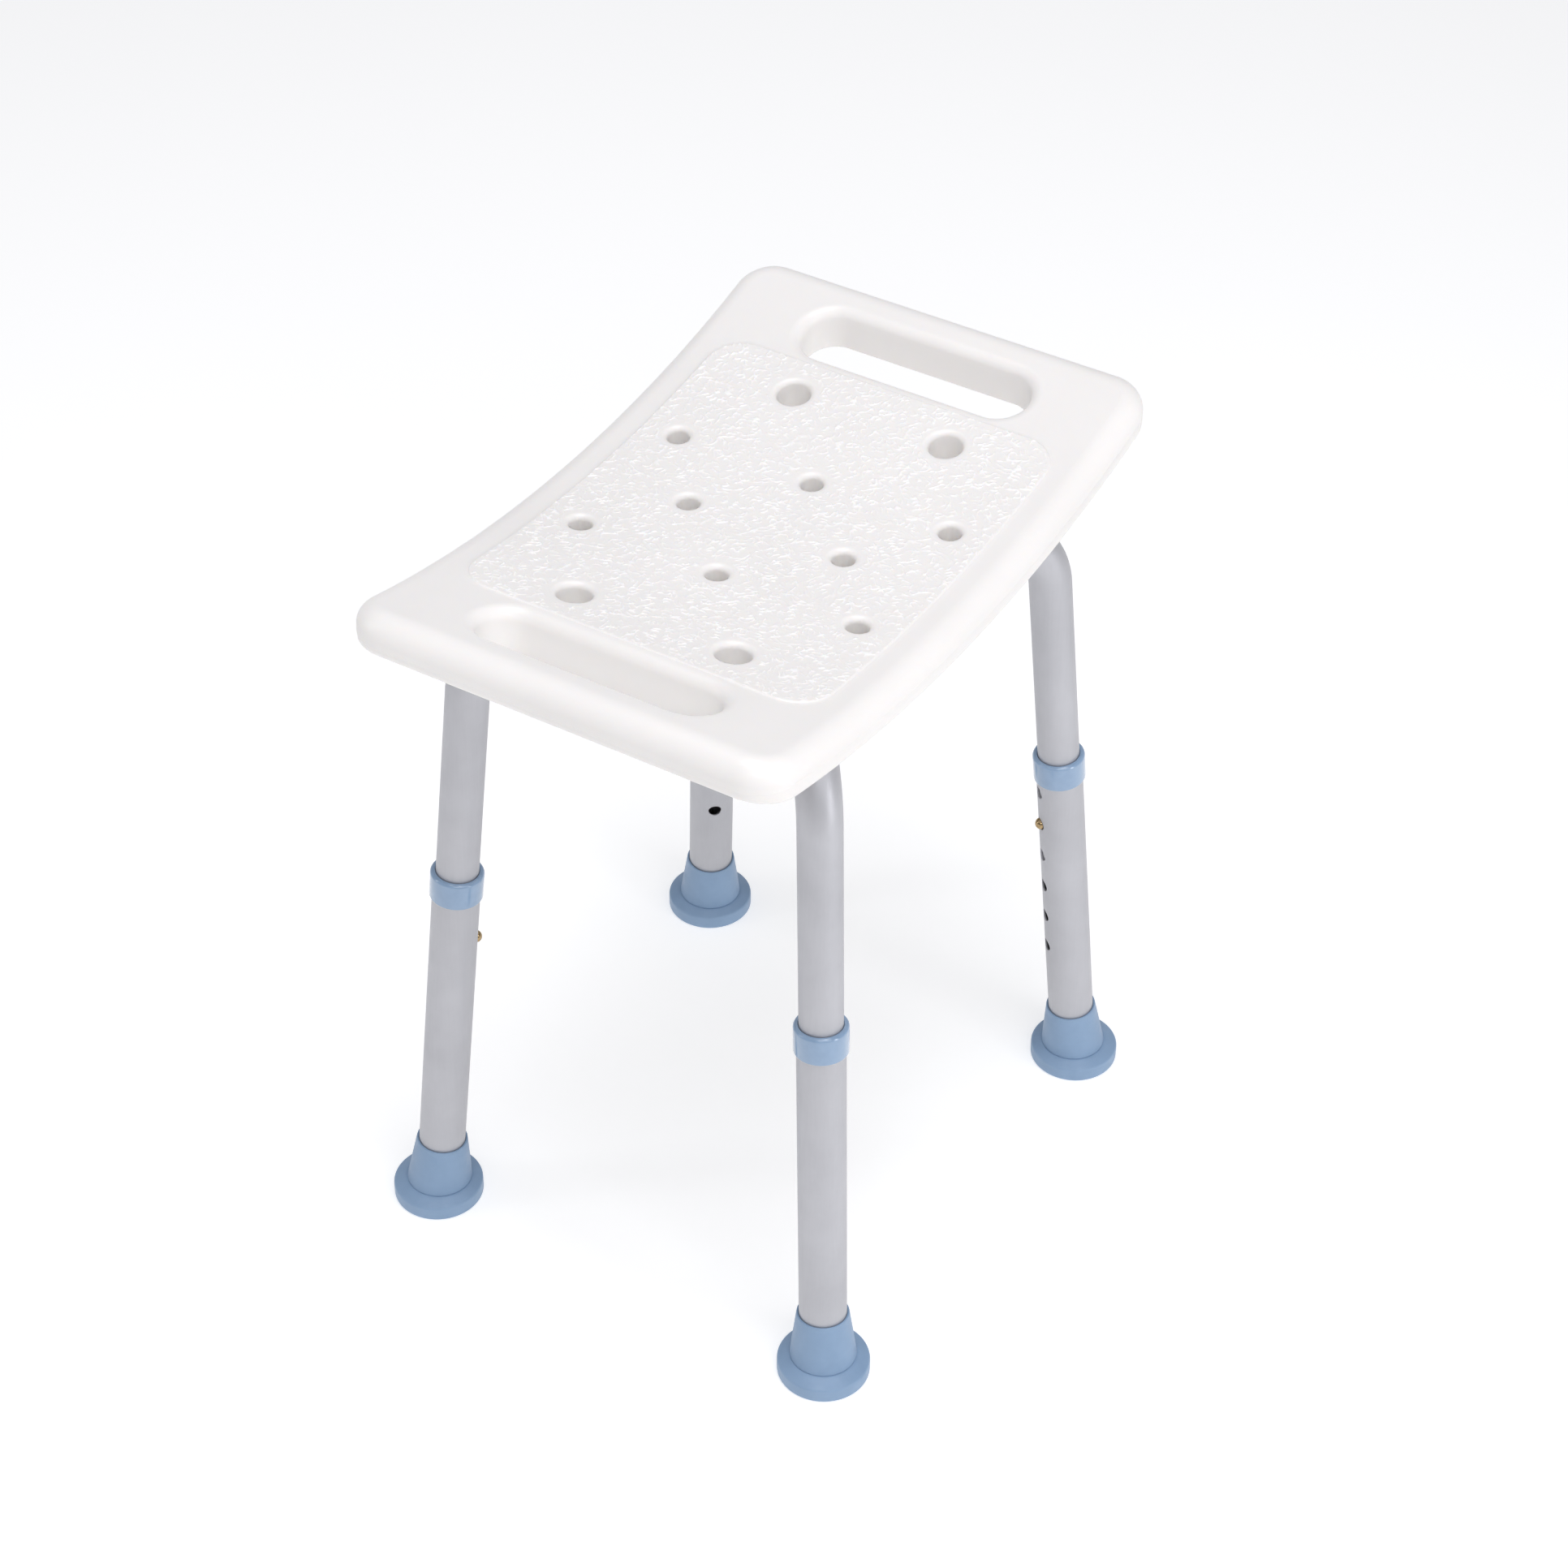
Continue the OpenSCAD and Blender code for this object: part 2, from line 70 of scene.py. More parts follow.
# Legs. s is the distance up a leg from the floor, and every leg is splayed along its own diagonal.
FOOT_X, FOOT_Y = 156.2, 137.7
SPLAY = math.radians(5.52)
FOOT_R = math.hypot(FOOT_X, FOOT_Y)
TURN = math.atan2(FOOT_Y, FOOT_X)
LEG_ANGLE = {"front_left": -TURN, "front_right": math.pi + TURN,
             "rear_left": TURN, "rear_right": math.pi - TURN}
ARM_Z, BEND_R, ARM_INNER = 430.2, 52.0, 24.0
UPPER_R, UPPER_BORE = 12.5, 11.0
LOWER_R, LOWER_BORE = 14.0, 12.8
HOLES_S = [101.0 + 25.4 * k for k in range(6)]
BUTTON_S = HOLES_S[4]
HEIGHT_HOLE_R, HOLE_CHAMFER = 4.1, 0.25
BUTTON_R, BUTTON_PROUD, BUTTON_FIT = 3.6, 3.0, 0.08
UPPER_END, LOWER_END = BUTTON_S - 36.0, 11.0
COLLAR_R, COLLAR_LOW, COLLAR_TOP, COLLAR_LIP_R = 15.7, 237.4, 255.2, UPPER_R + 0.16
FLANGE_R, FLANGE_T, FLANGE_ROOT, FLANGE_SOFT = 27.28, 9.9, 8.0, 1.8
FLANGE_SLOPE = math.radians(24)
FOOT_GROOVES, FOOT_GROOVE_DEPTH = ((9, 10.5), (16, 17.5), (23, 24.5)), 1.2
SOCKET_TOP, SOCKET_R, SOCKET_ROOT_R, SOCKET_LIP = 44.0, 15.4, 20.4, 0.62
BEND_S = (ARM_Z - BEND_R * (1 - math.sin(SPLAY))) / math.cos(SPLAY)
BEND_TURN = math.pi / 2 - SPLAY
BEND_LENGTH = BEND_R * BEND_TURN
BEND_CENTRE_R = FOOT_R - BEND_S * math.sin(SPLAY) - BEND_R * math.cos(SPLAY)
CHANNEL_R, CHANNEL_START, CHANNEL_END = 12.9, ARM_INNER - 6.0, BEND_CENTRE_R + 30.0
TUBE_COLUMNS, HOLE_STEPS, FOOT_STEPS = 80, 48, 120

# ------------------------------------------------------------------ camera, in metres and degrees
CAMERA_AT = (-1.3966, -0.8545, 1.6350)
CAMERA_AZIMUTH, CAMERA_ELEVATION, CAMERA_ROLL = -58.945, 39.744, 0.471
CAMERA_LENS = 84.1


def make_camera():
    az, el, roll = (math.radians(v) for v in (CAMERA_AZIMUTH, CAMERA_ELEVATION, CAMERA_ROLL))
    back = Vector((math.sin(az) * math.cos(el), -math.cos(az) * math.cos(el), math.sin(el)))
    right = (-back).cross(Vector((0, 0, 1))).normalized()
    up = right.cross(-back)
    rolled_right = math.cos(roll) * right + math.sin(roll) * up
    rolled_up = math.cos(roll) * up - math.sin(roll) * right
    data = bpy.data.cameras.new("camera")
    data.lens = CAMERA_LENS
    data.sensor_width = 36
    data.clip_start, data.clip_end = 0.05, 50
    camera = bpy.data.objects.new("camera", data)
    bpy.context.scene.collection.objects.link(camera)
    camera.matrix_world = Matrix((
        (rolled_right.x, rolled_up.x, back.x, CAMERA_AT[0]),
        (rolled_right.y, rolled_up.y, back.y, CAMERA_AT[1]),
        (rolled_right.z, rolled_up.z, back.z, CAMERA_AT[2]),
        (0, 0, 0, 1)))
    bpy.context.scene.camera = camera


# ------------------------------------------------------------------ mesh building
class Builder:
    """Collects points in mm and triangles, then makes one smooth-shaded mesh in metres."""

    def __init__(self):
        self.points, self.faces, self.count = [], [], 0

    def add(self, points):
        points = np.asarray(points, float).reshape(-1, 3)
        ids = np.arange(self.count, self.count + len(points))
        self.points.append(points)
        self.count += len(points)
        return ids

    def triangles(self, faces):
        self.faces.append(np.asarray(faces, np.int64).reshape(-1, 3))

    def bridge(self, a, b, flip=False):
        """Quads between two closed loops of the same length, as triangles."""
        a2, b2 = np.roll(a, -1), np.roll(b, -1)
        rows = np.concatenate([np.stack([a, b, b2], 1), np.stack([a, b2, a2], 1)])
        self.triangles(rows[:, ::-1] if flip else rows)

    def skin(self, loops, flip=False, closed=False):
        """Adds closed loops of the same length and joins each to the next. Returns their ids."""
        chain = [self.add(loop) for loop in loops]
        pairs = list(zip(chain[:-1], chain[1:]))
        if closed:
            pairs.append((chain[-1], chain[0]))
        for one, two in pairs:
            self.bridge(one, two, flip=flip)
        return chain

    def mesh(self, name, sharp_deg=35.0):
        points = np.concatenate(self.points) * MM
        faces = np.concatenate(self.faces)
        mesh = bpy.data.meshes.new(name)
        mesh.vertices.add(len(points))
        mesh.vertices.foreach_set("co", points.astype(np.float32).ravel())
        mesh.loops.add(faces.size)
        mesh.loops.foreach_set("vertex_index", faces.astype(np.int32).ravel())
        mesh.polygons.add(len(faces))
        mesh.polygons.foreach_set("loop_start", np.arange(0, faces.size, 3, dtype=np.int32))
        mesh.polygons.foreach_set("use_smooth", np.ones(len(faces), bool))
        mesh.update(calc_edges=True)
        mesh.validate()
        mesh.set_sharp_from_angle(angle=math.radians(sharp_deg))
        obj = bpy.data.objects.new(name, mesh)
        bpy.context.scene.collection.objects.link(obj)
        return obj


def closed_edges(ids):
    return np.stack([ids, np.roll(ids, -1)], 1)


def triangulate(loops, loose, hole_loops):
    """Delaunay triangles of closed plan loops and loose points, and where each loop's points start.

    The loops named in hole_loops are left open.
    """
    points = np.concatenate(list(loops) + [loose])
    starts = np.cumsum([0] + [len(p) for p in loops])
    edges = np.concatenate([closed_edges(np.arange(a, b)) for a, b in zip(starts[:-1], starts[1:])])
    made = delaunay_2d_cdt([tuple(p) for p in points.tolist()], [tuple(e) for e in edges.tolist()],
                           [], 0, 1e-7, False)
    out = np.array([tuple(v) for v in made[0]], float)
    faces = np.array(made[2], np.int64)
    if len(out) != len(points):
        raise RuntimeError("triangulation merged or split points: %d, %d" % (len(out), len(points)))
    loop_of = np.full(len(out), -1)
    for k in hole_loops:
        loop_of[starts[k]:starts[k + 1]] = k
    of = loop_of[faces]
    filled = (of[:, 0] >= 0) & (of[:, 0] == of[:, 1]) & (of[:, 1] == of[:, 2])
    a, b, c = (out[faces[:, i]] for i in range(3))
    area = (b[:, 0] - a[:, 0]) * (c[:, 1] - a[:, 1]) - (b[:, 1] - a[:, 1]) * (c[:, 0] - a[:, 0])
    faces[area < 0] = faces[area < 0][:, ::-1]
    return faces[~filled & (np.abs(area) > 1e-9)], starts


# Every plan outline is a set of anchor points and outward directions, so that it can be offset.
def without_dust(normals):
    normals = np.array(normals)
    normals[np.abs(normals) < 1e-12] = 0
    return normals


def rounded_outline(length, depth, corner, step, corner_steps=20):
    hx, hy = length / 2 - corner, depth / 2 - corner
    nx, ny = max(2, round(2 * hx / step)), max(2, round(2 * hy / step))
    q, n = [], []
    corners = [(hx, hy, 0), (-hx, hy, 90), (-hx, -hy, 180), (hx, -hy, 270)]
    for k, (x, y, start) in enumerate(corners):
        for i in range(corner_steps + 1):
            a = math.radians(start + 90 * i / corner_steps)
            q.append((x, y))
            n.append((math.cos(a), math.sin(a)))
        x2, y2, _ = corners[(k + 1) % 4]
        steps = nx if k % 2 == 0 else ny
        a = math.radians(start + 90)
        for i in range(1, steps):
            t = i / steps
            q.append((x + (x2 - x) * t, y + (y2 - y) * t))
            n.append((math.cos(a), math.sin(a)))
    return np.array(q, float), without_dust(n)


def slot_outline(side, end_steps=36, side_steps=44):
    """The middle line of a hand slot, side 1 at the sitter's left and -1 at the right."""
    x, half_length = side * SLOT_X, SLOT_STRAIGHT
    q, n = [], []
    for end in (1, -1):
        for i in range(end_steps + 1):
            a = math.radians((0 if end > 0 else 180) + 180 * i / end_steps)
            q.append((x, end * half_length))
            n.append((math.cos(a), math.sin(a)))
        for i in range(1, side_steps):
            q.append((x, end * half_length * (1 - 2 * i / side_steps)))
            n.append((-end, 0.0))
    return np.array(q, float), without_dust(n)


def circle_outline(x, y, steps):
    a = np.arange(steps) * 2 * math.pi / steps
    return np.tile((float(x), float(y)), (steps, 1)), np.stack([np.cos(a), np.sin(a)], 1)


def drain_outline(x, y, r):
    return circle_outline(x, y, 72 if r == LARGE_HOLE_R else 60)


def dish(x, radius):
    """Height of a dished face of that radius."""
    return DISH_Z - np.sqrt(radius * radius - np.asarray(x) ** 2)


def rolled_loops(anchor, normal, reach, roll, radius, side, steps, below=False):
    """Loops of a rolling-ball edge between an upright wall and the dished face.

    reach is the wall's distance from the anchors along the normals. side is 1 where the material lies
    inside the outline and -1 where it lies outside. The first loop is on the wall, the last on the face.
    """
    spine = anchor + normal * (reach - side * roll)
    ball_radius = radius + (-roll if below else roll)
    z = dish(spine[:, 0], ball_radius)
    centre = np.column_stack([spine, z])
    up = np.column_stack([-spine[:, 0] / ball_radius, np.zeros(len(z)), (DISH_Z - z) / ball_radius])
    if below:
        up = -up
    out = np.column_stack([side * normal, np.zeros(len(z))])
    angle = np.arccos(np.clip((out * up).sum(1), -1, 1))
    loops = []
    for k in range(steps + 1):
        t = k / steps
        w_out = np.sin((1 - t) * angle) / np.sin(angle)
        w_up = np.sin(t * angle) / np.sin(angle)
        loops.append(centre + roll * (w_out[:, None] * out + w_up[:, None] * up))
    return loops


# ------------------------------------------------------------------ distances in the plan
def rounded_distance(p, length, depth, corner):
    """Distance inside a rounded rectangle, positive inside."""
    dx = np.abs(p[:, 0]) - (length / 2 - corner)
    dy = np.abs(p[:, 1]) - (depth / 2 - corner)
    outside = np.hypot(np.maximum(dx, 0), np.maximum(dy, 0))
    return corner - outside - np.minimum(np.maximum(dx, dy), 0)


def seat_distance(p):
    return rounded_distance(p, SEAT_LENGTH, SEAT_DEPTH, CORNER_R)


def panel_distance(p):
    return rounded_distance(p, PANEL_LENGTH, PANEL_DEPTH, PANEL_CORNER)


def slot_distance(p):
    """Distance from the nearest hand slot's wall, positive outside the slot."""
    d = np.full(len(p), 1e9)
    for side in (-1, 1):
        y = np.clip(p[:, 1], -SLOT_STRAIGHT, SLOT_STRAIGHT)
        d = np.minimum(d, np.hypot(p[:, 0] - side * SLOT_X, p[:, 1] - y) - SLOT_HALF_WIDTH)
    return d


def drain_distance(p):
    """Distance from the nearest drain hole's wall, positive outside the hole."""
    d = np.full(len(p), 1e9)
    for x, y, r in DRAINS:
        d = np.minimum(d, np.hypot(p[:, 0] - x, p[:, 1] - y) - r)
    return d


def smooth(t):
    t = np.clip(t, 0, 1)
    return t * t * (3 - 2 * t)


def far_from(points, others, gap):
    """The points that are at least gap away from all of the others, in the plan."""
    cells = {}
    for key, point in zip(map(tuple, np.floor(others / gap).astype(int)), others):
        cells.setdefault(key, []).append(point)
    cells = {key: np.array(found) for key, found in cells.items()}
    members_of = {}
    for i, key in enumerate(map(tuple, np.floor(points / gap).astype(int))):
        members_of.setdefault(key, []).append(i)
    keep = np.ones(len(points), bool)
    for (a, b), members in members_of.items():
        near = [cells[(a + i, b + j)] for i in (-1, 0, 1) for j in (-1, 0, 1) if (a + i, b + j) in cells]
        if near:
            near = np.concatenate(near)
            members = np.array(members)
            d = np.linalg.norm(points[members][:, None] - near[None], axis=2).min(1)
            keep[members[d < gap]] = False
    return points[keep]


def plan_grid(length, depth, step):
    """Points about step apart over a rectangle about the middle of the seat."""
    xs = np.linspace(-length / 2, length / 2, int(round(length / step)) + 1)
    ys = np.linspace(-depth / 2, depth / 2, int(round(depth / step)) + 1)
    return np.stack(np.meshgrid(xs, ys), -1).reshape(-1, 2)


# ------------------------------------------------------------------ wrinkled anti-slip relief
def band_noise(seed, shape, wavelength, spread):
    """Smooth random field whose features repeat about every wavelength, in mm."""
    noise = np.random.default_rng(seed).standard_normal(shape)
    fy, fx = np.meshgrid(np.fft.fftfreq(shape[0], RELIEF_STEP), np.fft.fftfreq(shape[1], RELIEF_STEP),
                         indexing="ij")
    radius = np.hypot(fx, fy)
    field = np.fft.ifft2(np.fft.fft2(noise) * np.exp(-(((radius - 1 / wavelength) / spread) ** 2))).real
    return field / field.std()


def wrinkle_map():
    """A height map, 0 to 1, of short curved ridges, as moulded leather grain."""
    shape = int(RELIEF_DEPTH / RELIEF_STEP), int(RELIEF_LENGTH / RELIEF_STEP)
    lines = band_noise(11, shape, RIDGE_WAVELENGTH, 0.055)
    ridge = np.exp(-((lines / RIDGE_WIDTH) ** 2))
    breaks = smooth((band_noise(5, shape, 8.0, 0.06) + 0.75) / 0.9)
    swell = 0.85 + 0.15 * np.clip(band_noise(8, shape, 22.0, 0.03), -1.5, 1.5)
    return ridge * breaks * swell


def sample_map(field, p):
    """The map's value at plan points, blended between its four nearest samples."""
    ny, nx = field.shape
    fx = np.clip((p[:, 0] + RELIEF_LENGTH / 2) / RELIEF_STEP, 0, nx - 1.001)
    fy = np.clip((p[:, 1] + RELIEF_DEPTH / 2) / RELIEF_STEP, 0, ny - 1.001)
    ix, iy = fx.astype(int), fy.astype(int)
    tx, ty = fx - ix, fy - iy
    return ((field[iy, ix] * (1 - tx) + field[iy, ix + 1] * tx) * (1 - ty)
            + (field[iy + 1, ix] * (1 - tx) + field[iy + 1, ix + 1] * tx) * ty)


def panel_mask(p):
    """1 where the panel carries wrinkles, falling to 0 at its edge and round the drain holes."""
    return smooth((panel_distance(p) + 0.3) / 1.0) * smooth((drain_distance(p) - HOLE_RIM - 0.8) / 2.2)


def top_heights(p, relief):
    """The seat's top: its dish, the raised panel with its wrinkles, and one small mould mark."""
    rise = PANEL_RISE * smooth(panel_distance(p) / (2 * EDGE_STEP) + 0.5)
    ridges = RIDGE_HEIGHT * sample_map(relief, p) * panel_mask(p)
    mark = np.hypot(p[:, 0] - MARK_X, p[:, 1] - MARK_Y)
    dimple = MARK_DEPTH * smooth((MARK_R - mark) / 0.8)
    return dish(p[:, 0], DISH_R) + rise + ridges - dimple


# ------------------------------------------------------------------ seat
# A border is a plan loop and the ids of its points, where a wall meets the top or the underside.
def lip_depth(normal, side):
    """How far the lip hangs below the underside: full inboard of the slot, nothing outboard."""
    return LIP_DROP * smooth(-side * normal[:, 0] / 0.3)


def seat_edge(b):
    """Rolled upper edge, upright wall with its thin parting ridge, rolled lower edge. Two borders."""
    anchor, normal = rounded_outline(SEAT_LENGTH, SEAT_DEPTH, CORNER_R, 2.6)
    reach = CORNER_R - PARTING_PROUD
    top = rolled_loops(anchor, normal, reach, TOP_ROLL - PARTING_PROUD, DISH_R, 1, 12)
    low = rolled_loops(anchor, normal, reach, BOTTOM_ROLL, BOTTOM_R, 1, 6, below=True)
    wall_xy = anchor + normal * reach
    z = np.clip(dish(anchor[:, 0], DISH_R) - PARTING_DEPTH, low[0][:, 2] + 1.2, top[0][:, 2] - 1.2)
    wall = [np.column_stack([wall_xy + normal * out, z + dz]) for dz, out in PARTING_RIDGE]
    chain = b.skin(top[::-1] + wall + low, flip=True)
    return (top[-1][:, :2], chain[0]), (low[-1][:, :2], chain[-1])


def opening_wall(b, outline, reach, rim, radius, low_rim, low_radius, steps):
    """Rim rolled into the top, upright wall, smaller rim rolled into the underside. Two borders."""
    upper = rolled_loops(*outline, reach, rim, radius, -1, steps)
    lower = rolled_loops(*outline, reach, low_rim, low_radius, -1, 4, below=True)
    chain = b.skin(upper[::-1] + [(upper[0] + lower[0]) / 2] + lower)
    return (upper[-1][:, :2], chain[0]), (lower[-1][:, :2], chain[-1])


def fill_sheet(b, borders, rings, loose, flip=False):
    """Triangles of one face of the seat, between its outer border and the openings' borders."""
    loops = [loop for loop, _ in borders] + [ring[:, :2] for ring in rings]
    faces, _ = triangulate(loops, loose[:, :2], range(1, len(borders)))
    ids = [ids for _, ids in borders] + [b.add(ring) for ring in rings] + [b.add(loose)]
    faces = np.concatenate(ids)[faces]
    b.triangles(faces[:, ::-1] if flip else faces)


def top_sheet(b, borders, relief):
    rings = []
    for x, y, r in DRAINS:
        q, n = drain_outline(x, y, r)
        rings += [q + n * (r + HOLE_RIM + 0.5 + gap) for gap in (0.6, 1.3, 2.1)]
    for gap in (-EDGE_STEP, -EDGE_STEP / 2, 0.0, EDGE_STEP / 2, EDGE_STEP):
        q, n = rounded_outline(PANEL_LENGTH, PANEL_DEPTH, PANEL_CORNER, 0.8, 42)
        rings.append(q + n * (PANEL_CORNER - gap))
    q, n = circle_outline(MARK_X, MARK_Y, 40)
    rings += [q + n * r for r in (1.6, 2.6, 3.0, MARK_R, 3.9)]
    fixed = np.concatenate([loop for loop, _ in borders] + rings)

    inner = plan_grid(PANEL_LENGTH, PANEL_DEPTH, FINE_STEP)
    inner = inner[panel_distance(inner) > EDGE_STEP + 0.3]
    inner = inner[drain_distance(inner) > HOLE_RIM + 0.9]
    inner = far_from(inner, fixed, FINE_STEP * 0.6)
    outer = plan_grid(SEAT_LENGTH, SEAT_DEPTH, TOP_STEP)
    outer = outer[panel_distance(outer) < -EDGE_STEP - 0.8]
    outer = outer[slot_distance(outer) > SLOT_RIM + 2.6]
    # the rolled edge comes further in at the raised ends, where the top slopes
    outer = outer[seat_distance(outer / [0.984, 1]) > TOP_ROLL + 0.6]
    outer = far_from(outer, fixed, 1.2)
    raised = [np.column_stack([p, top_heights(p, relief)]) for p in rings + [np.concatenate([inner, outer])]]
    fill_sheet(b, borders, raised[:-1], raised[-1])


def arm_axes(turn):
    """Plan directions along an arm of the frame and across it."""
    return np.array([math.cos(turn), math.sin(turn)]), np.array([-math.sin(turn), math.cos(turn)])


def channel(turn):
    """Two rings round an arm's channel, and points over its round roof."""
    along, across = arm_axes(turn)

    def half_width(r):
        return np.sqrt(CHANNEL_R ** 2 - np.maximum(dish(r * along[0], BOTTOM_R) - ARM_Z, 0) ** 2)

    r = np.linspace(CHANNEL_START, CHANNEL_END, 60)
    t = np.linspace(-1, 1, 25)[1:-1]
    rings = []
    for shrink in (0.0, 0.2):
        rr = np.clip(r, CHANNEL_START + shrink, CHANNEL_END - shrink)
        w = half_width(r) - shrink
        right_side = np.outer(rr, along) + np.outer(-w, across)
        left_side = np.outer(rr, along) + np.outer(w, across)
        far_end = np.outer(np.full(len(t), rr[-1]), along) + np.outer(t * w[-1], across)
        near_end = np.outer(np.full(len(t), rr[0]), along) + np.outer(-t * w[0], across)
        loop = np.concatenate([right_side, far_end, left_side[::-1], near_end])
        z = dish(loop[:, 0], BOTTOM_R)
        if shrink:
            z = np.maximum(z, ARM_Z + np.sqrt(np.maximum(CHANNEL_R ** 2 - (loop @ across) ** 2, 0)))
        rings.append(np.column_stack([loop, z]))

    t = np.linspace(-0.94, 0.94, 19)
    roof = []
    for rr in np.linspace(CHANNEL_START + 1.6, CHANNEL_END - 1.6, 44):
        w = float(half_width(rr))
        p = np.outer(np.full(len(t), rr), along) + np.outer(t * w, across)
        z = ARM_Z + np.sqrt(CHANNEL_R ** 2 - (t * w) ** 2)
        roof.append(np.column_stack([p, np.maximum(z, dish(p[:, 0], BOTTOM_R))]))
    return rings, roof


def underside(b, borders):
    """The underside, with the lips of the hand slots and the channels for the frame's arms."""
    rings, roofs = [], []
    for side in (-1, 1):
        q, n = slot_outline(side)
        lip_foot = ((LIP_WALL - 0.7, 1.0), (LIP_WALL - 0.2, 0.93), (LIP_WALL, 0.8), (LIP_WALL + 0.05, 0.0))
        for gap, deep in lip_foot:
            ring = q + n * (SLOT_HALF_WIDTH + gap)
            rings.append(np.column_stack([ring, dish(ring[:, 0], BOTTOM_R + deep * lip_depth(n, side))]))
    for turn in LEG_ANGLE.values():
        edges, roof = channel(turn)
        rings += edges
        roofs += roof
    loose = plan_grid(SEAT_LENGTH, SEAT_DEPTH, BOTTOM_STEP)
    loose = loose[seat_distance(loose) > BOTTOM_ROLL + 3.0]
    loose = loose[slot_distance(loose) > 5.5]
    loose = loose[drain_distance(loose) > 3.2]
    in_channel = np.zeros(len(loose), bool)
    for turn in LEG_ANGLE.values():
        along, across = arm_axes(turn)
        u, v = loose @ along, np.abs(loose @ across)
        in_channel |= (u > CHANNEL_START - 1.5) & (u < CHANNEL_END + 1.5) & (v < CHANNEL_R + 1.5)
    loose = loose[~in_channel]
    loose = np.column_stack([loose, dish(loose[:, 0], BOTTOM_R)])
    fill_sheet(b, borders, rings, np.concatenate([loose] + roofs), flip=True)


def build_seat():
    b = Builder()
    edges = [seat_edge(b)]
    for side in (-1, 1):
        outline = slot_outline(side)
        low_radius = BOTTOM_R + lip_depth(outline[1], side)
        edges.append(opening_wall(b, outline, SLOT_HALF_WIDTH, SLOT_RIM, DISH_R, LIP_ROUND, low_radius, 10))
    for x, y, r in DRAINS:
        edges.append(opening_wall(b, drain_outline(x, y, r), r, HOLE_RIM, DISH_R - PANEL_RISE,
                                  HOLE_LOW_RIM, BOTTOM_R, 7))
    top_borders, bottom_borders = zip(*edges)
    relief = wrinkle_map()
    top_sheet(b, top_borders, relief)
    underside(b, bottom_borders)
    seat = b.mesh("seat_moulding", 50)

    # the material lightens the colour of the ridge tops as a painted highlight, and makes them glossier; it
    # finds them by this layer
    points = np.concatenate(b.points)
    on_top = points[:, 2] > dish(points[:, 0], DISH_R) - 0.2
    ridge = sample_map(relief, points) * panel_mask(points) * on_top
    ridge_highlight_and_gloss_layer = seat.data.attributes.new("ridge", "FLOAT", "POINT")
    ridge_highlight_and_gloss_layer.data.foreach_set("value", ridge.astype(np.float32))
    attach(seat, "seat_frame")
    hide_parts("seat_shell")
    paint(seat, "seat")


# ------------------------------------------------------------------ legs
def leg_frame(leg):
    """The foot's place on the floor in mm, and the leg's outward, tangential and upward directions."""
    a = LEG_ANGLE[leg]
    radial = np.array([math.cos(a), math.sin(a), 0.0])
    tangent = np.array([-math.sin(a), math.cos(a), 0.0])
    up = math.cos(SPLAY) * np.array([0, 0, 1.0]) - math.sin(SPLAY) * radial
    out = math.cos(SPLAY) * radial + math.sin(SPLAY) * np.array([0, 0, 1.0])
    return FOOT_R * radial, out, tangent, up


def leg_points(leg, x, y, s):
    origin, out, tangent, up = leg_frame(leg)
    return origin + np.outer(x, out) + np.outer(y, tangent) + np.outer(s, up)


def revolve(b, outline, place, steps, closed=False):
    """Turns (radius, height) pairs about an axis. place maps x, y, s arrays to points."""
    a = np.arange(steps) * 2 * math.pi / steps
    b.skin([place(r * np.cos(a), r * np.sin(a), np.full(steps, float(s))) for r, s in outline], closed=closed)


def arc(cx, cz, r, start, end, steps):
    """Points of an arc, from start to end in degrees."""
    t = np.radians(np.linspace(start, end, steps + 1))
    return [(cx + r * math.cos(v), cz + r * math.sin(v)) for v in t]


def hole_line(s, r, on, turns):
    """A round hole of radius r at s: its angles round a tube of radius on, and its places along it."""
    return np.arcsin(r * np.sin(turns) / on), s + r * np.cos(turns)


